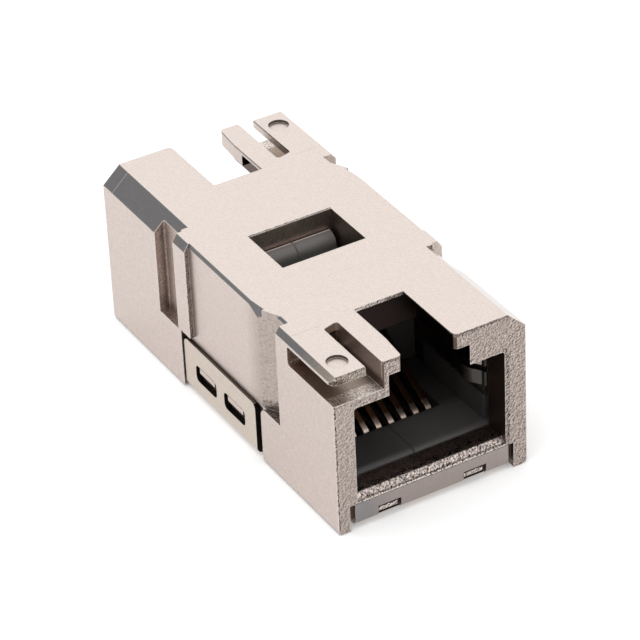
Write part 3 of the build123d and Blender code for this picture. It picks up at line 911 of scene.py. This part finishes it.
    def chamfers(self) -> list[Zone]:
        """Gives the zones of the long chamfers, painted dark as a reflection, and painted pale where
        they look along X.
        """
        finish = self.finish
        chamfer = (
            Limit(UP, 0.2, 0.93), Limit.at(OUT, 0.0, 0.35),
            Limit(HEIGHT, self.chamfer_foot, self.height + SLACK),
        )
        wide = Limit(SIDE, self.port_half, self.wide_half + 0.2)
        slim = Limit(SIDE, -self.slim_half - 0.2, -self.port_half)
        return [
            Zone(finish.chamfer, (*chamfer, wide)),
            Zone(finish.chamfer, (*chamfer, slim)),
            Zone(finish.chamfer_lit, (*chamfer, Limit(RIGHT, 0.2, 1.0))),
            Zone(finish.chamfer_front, (*chamfer, slim, Limit(DEPTH, -3.0, 2.6, soft=3.4))),
            Zone(finish.scratch, (*chamfer, wide, Limit(DEPTH, 1.3, 1.38))),
        ]

    def zones(self) -> list[Zone]:
        """Gives all the zones of the casting, inside first, because a later one covers them."""
        return [
            *self.hollow(), *self.tongue(), *self.sills(), *self.mouths(), *self.tips(),
            *self.grooves(), *self.sides(), *self.tops(), *self.chamfers(),
        ]


@dataclass
class SheetCover(Dressed):
    """The stamped cover: its flanges stand in the mouths and its flaps lie on the waist."""

    slot: str = "sheet_metal"
    finish: PlatedSheet = PlatedSheet()
    flap_half: float = 7.6
    sheet: float = 0.35
    flap_end: float = 11.0
    flap_top: float = 4.5
    window_bottom: float = 1.62
    window_top: float = 3.0

    def zones(self) -> list[Zone]:
        """Gives the zones of the flanges, painted darker as shade, and of the cut faces, painted
        dark as shadow.
        """
        finish = self.finish
        flange = (Limit.facing(OUT, 0.6), Limit(DEPTH, -SLACK, 0.6))
        end_cut = Limit.facing(OUT, 0.5)
        window_cut = (
            Limit.at(ASIDE, 0.0, 0.6),
            Limit.span(HEIGHT, self.window_bottom, self.window_top, FINE),
        )
        wide_flap = Limit(SIDE, self.flap_half - self.sheet - SLACK, self.flap_half - 0.03)
        slim_flap = Limit(SIDE, 0.03 - self.flap_half, self.sheet + SLACK - self.flap_half)
        return [
            Zone(finish.cut_top_shadow, (FACES_UP, Limit.at(HEIGHT, self.flap_top, FINE))),
            Zone(finish.flange, flange),
            Zone(finish.flange_slim, (*flange, Limit(SIDE, -9.0, -4.2, soft=2.0))),
            Zone(finish.cut, (end_cut, Limit(DEPTH, self.sheet + 0.04, 1.0))),
            Zone(finish.cut, (end_cut, Limit.at(DEPTH, self.flap_end, 0.3))),
            Zone(finish.cut, (*window_cut, wide_flap)),
            Zone(finish.cut, (*window_cut, slim_flap)),
        ]


@dataclass
class ContactCarriers(Dressed):
    """The four moulded carriers, whose catch noses stand in the window."""

    slot: str = "dark_plastic"
    finish: FilledPolyester = FilledPolyester()
    floor_top: float = 2.8
    bed_start: float = 5.85
    nose_foot: float = 10.0
    nose_top: float = 11.3
    nose_face: float = 13.95

    def zones(self) -> list[Zone]:
        """Gives the painted shade deep in the port, and the painted light and rim highlight of the
        catch noses.
        """
        finish = self.finish
        return [
            Zone(finish.wall, (Limit(HEIGHT, self.floor_top + FINE, self.nose_foot),)),
            Zone(finish.stop, (
                Limit(DEPTH, self.bed_start, PAST_MIDDLE, soft=1.0),
                Limit(HEIGHT, 0.0, self.nose_foot),
            )),
            Zone(finish.nose, (Limit(HEIGHT, self.nose_foot, 13.0),)),
            Zone(finish.nose_rim_highlight, (
                Limit(HEIGHT, self.nose_top - 0.08, self.nose_top + SLACK),
                Limit(DEPTH, self.nose_face - SLACK, self.nose_face + 0.12, ragged=0.08),
            )),
        ]


@dataclass
class ContactSprings(Dressed):
    """The sixteen contacts, brightest at the bend, where a highlight is painted."""

    slot: str = "gilt_contact"
    finish: GiltWire = GiltWire()
    bend_depth: float = 6.0

    def zones(self) -> list[Zone]:
        """Gives the painted highlight at the bend."""
        bend = Limit(DEPTH, self.bend_depth - 1.0, self.bend_depth + 0.5, soft=0.7)
        return [Zone(self.finish.bend, (bend,))]


@dataclass
class ShieldSprings(Dressed):
    """The four folded springs beside the ports."""

    slot: str = "spring_leaf"
    finish: SpringStrip = SpringStrip()
    fold_depth: float = 2.28
    top_finger: float = 7.5

    def zones(self) -> list[Zone]:
        """Gives the painted light on the ramps of the fingers and the duller fold at the mouth."""
        finish = self.finish
        ramp_light = Limit(DEPTH, -2.0, self.fold_depth + 1.5, soft=1.2)
        top_finger = Limit(HEIGHT, self.top_finger - SLACK, self.top_finger + 1.3)
        fold = Limit(DEPTH, self.fold_depth - 0.5, self.fold_depth + 0.28)
        return [
            Zone(finish.ramp_light, (ramp_light,)),
            Zone(finish.ramp_top_light, (ramp_light, top_finger)),
            Zone(finish.fold, (fold,)),
        ]


@dataclass
class CircuitBoard(Dressed):
    """The board between the two rows of contacts."""

    slot: str = "circuit_board"
    finish: MaskedLaminate = MaskedLaminate()


@dataclass
class Studio:
    """Floor, world, lamp and camera, with lengths in metres unless a comment says otherwise."""

    floor_radius: float = 0.6
    floor_sides: int = 96
    floor_colour: str = "F4F4F4"
    floor_roughness: float = 0.9
    floor_glow: float = 0.2
    # The floor lies a hair under the feet, so that the two faces don't flicker
    floor_gap: float = 0.00002
    world_light: float = 0.85
    lamp_power: float = 0.9
    lamp_size: float = 0.35
    lamp_at: tuple[float, float, float] = (-0.15, -0.05, 0.5)
    # The photograph's camera, in millimetres and degrees
    camera_at: tuple[float, float, float] = (-101.454, -182.365, 146.685)
    camera_azimuth: float = -29.275
    camera_elevation: float = 34.019
    camera_roll: float = -2.773
    lens: float = 198.97
    sensor: float = 36.0
    # The nearest and the farthest that the camera sees, in metres
    clip: tuple[float, float] = (0.01, 10.0)

    def backdrop_ray(self, graph: Graph) -> bpy.types.Node:
        """Adds the share that is 1 for rays that see the backdrop, also mirrored or through glass.

        Args:
            graph: the tree it goes into.

        Returns:
            The node with that share.
        """
        ray = graph.add("LightPath").outputs
        seen = graph.add("Math", ray["Is Camera Ray"], ray["Is Glossy Ray"], operation="MAXIMUM")
        return graph.add("Math", seen, ray["Is Transmission Ray"], operation="MAXIMUM")

    def build_world(self) -> None:
        """Makes a world of plain light that looks white behind the object."""
        world = bpy.data.worlds.new("studio")
        bpy.context.scene.world = world
        world.use_nodes = True
        graph = Graph(world.node_tree)
        light = graph.tree.nodes["Background"]
        level = graph.add("MapRange", self.backdrop_ray(graph), 0.0, 1.0, self.world_light, 1.0)
        light.inputs["Color"].default_value = linear(WHITE)
        graph.tree.links.new(level.outputs[0], light.inputs["Strength"])

    def build_floor(self) -> None:
        """Lays the round pale floor of matt paper, which keeps the shadow."""
        bpy.ops.mesh.primitive_circle_add(
            vertices=self.floor_sides, radius=self.floor_radius, fill_type="NGON",
            location=(0, 0, -self.floor_gap),
        )
        floor = bpy.context.object
        floor.name = "studio_floor"
        made = bpy.data.materials.new("studio_floor_paper")
        made.use_nodes = True
        graph = Graph(made.node_tree)
        shader = graph.tree.nodes["Principled BSDF"]
        shader.inputs["Base Color"].default_value = linear(self.floor_colour)
        shader.inputs["Roughness"].default_value = self.floor_roughness
        shader.inputs["Specular IOR Level"].default_value = 0.0
        shader.inputs["Emission Color"].default_value = linear(WHITE)
        glow = graph.add("Math", self.backdrop_ray(graph), self.floor_glow, operation="MULTIPLY")
        graph.tree.links.new(glow.outputs[0], shader.inputs["Emission Strength"])
        floor.data.materials.append(made)

    def build_lamp(self) -> None:
        """Hangs one large soft lamp over the set."""
        lamp = bpy.data.lights.new("softbox", "AREA")
        lamp.shape = "DISK"
        lamp.size = self.lamp_size
        lamp.energy = self.lamp_power
        holder = bpy.data.objects.new("softbox", lamp)
        holder.location = Vector(self.lamp_at)
        holder.rotation_euler = (-holder.location).to_track_quat("-Z", "Y").to_euler()
        # The metal mirrors the pale room, not the lamp, which would bleach the faces that look up
        holder.visible_glossy = False
        bpy.context.scene.collection.objects.link(holder)

    def build_camera(self) -> None:
        """Sets the camera where the photograph was taken from."""
        turn, rise = math.radians(self.camera_azimuth), math.radians(self.camera_elevation)
        right = Vector((math.cos(turn), math.sin(turn), 0))
        level = math.cos(rise)
        back = Vector((math.sin(turn) * level, -math.cos(turn) * level, math.sin(rise)))
        axes = Matrix((right, back.cross(right), back)).transposed()
        roll = Matrix.Rotation(math.radians(self.camera_roll), 3, "Z")
        lens = bpy.data.cameras.new("camera")
        lens.lens, lens.sensor_width = self.lens, self.sensor
        lens.clip_start, lens.clip_end = self.clip
        holder = bpy.data.objects.new("camera", lens)
        place = Matrix.Translation(Vector(self.camera_at) * MM)
        holder.matrix_world = place @ (axes @ roll).to_4x4()
        bpy.context.scene.collection.objects.link(holder)
        bpy.context.scene.camera = holder

    def build(self) -> None:
        """Builds the whole studio."""
        self.build_world()
        self.build_floor()
        self.build_lamp()
        self.build_camera()
        bpy.context.scene.view_settings.view_transform = "Standard"
        LOG.info("studio is set")


def main() -> None:
    """Dresses the coupler and sets the studio."""
    logging.basicConfig(level=logging.INFO, format="%(name)s: %(message)s")
    pieces = (
        Housing(), SheetCover(), ContactCarriers(), ContactSprings(), ShieldSprings(),
        CircuitBoard(),
    )
    for piece in pieces:
        piece.dress()
    Studio().build()


if __name__ == "__main__":
    main()
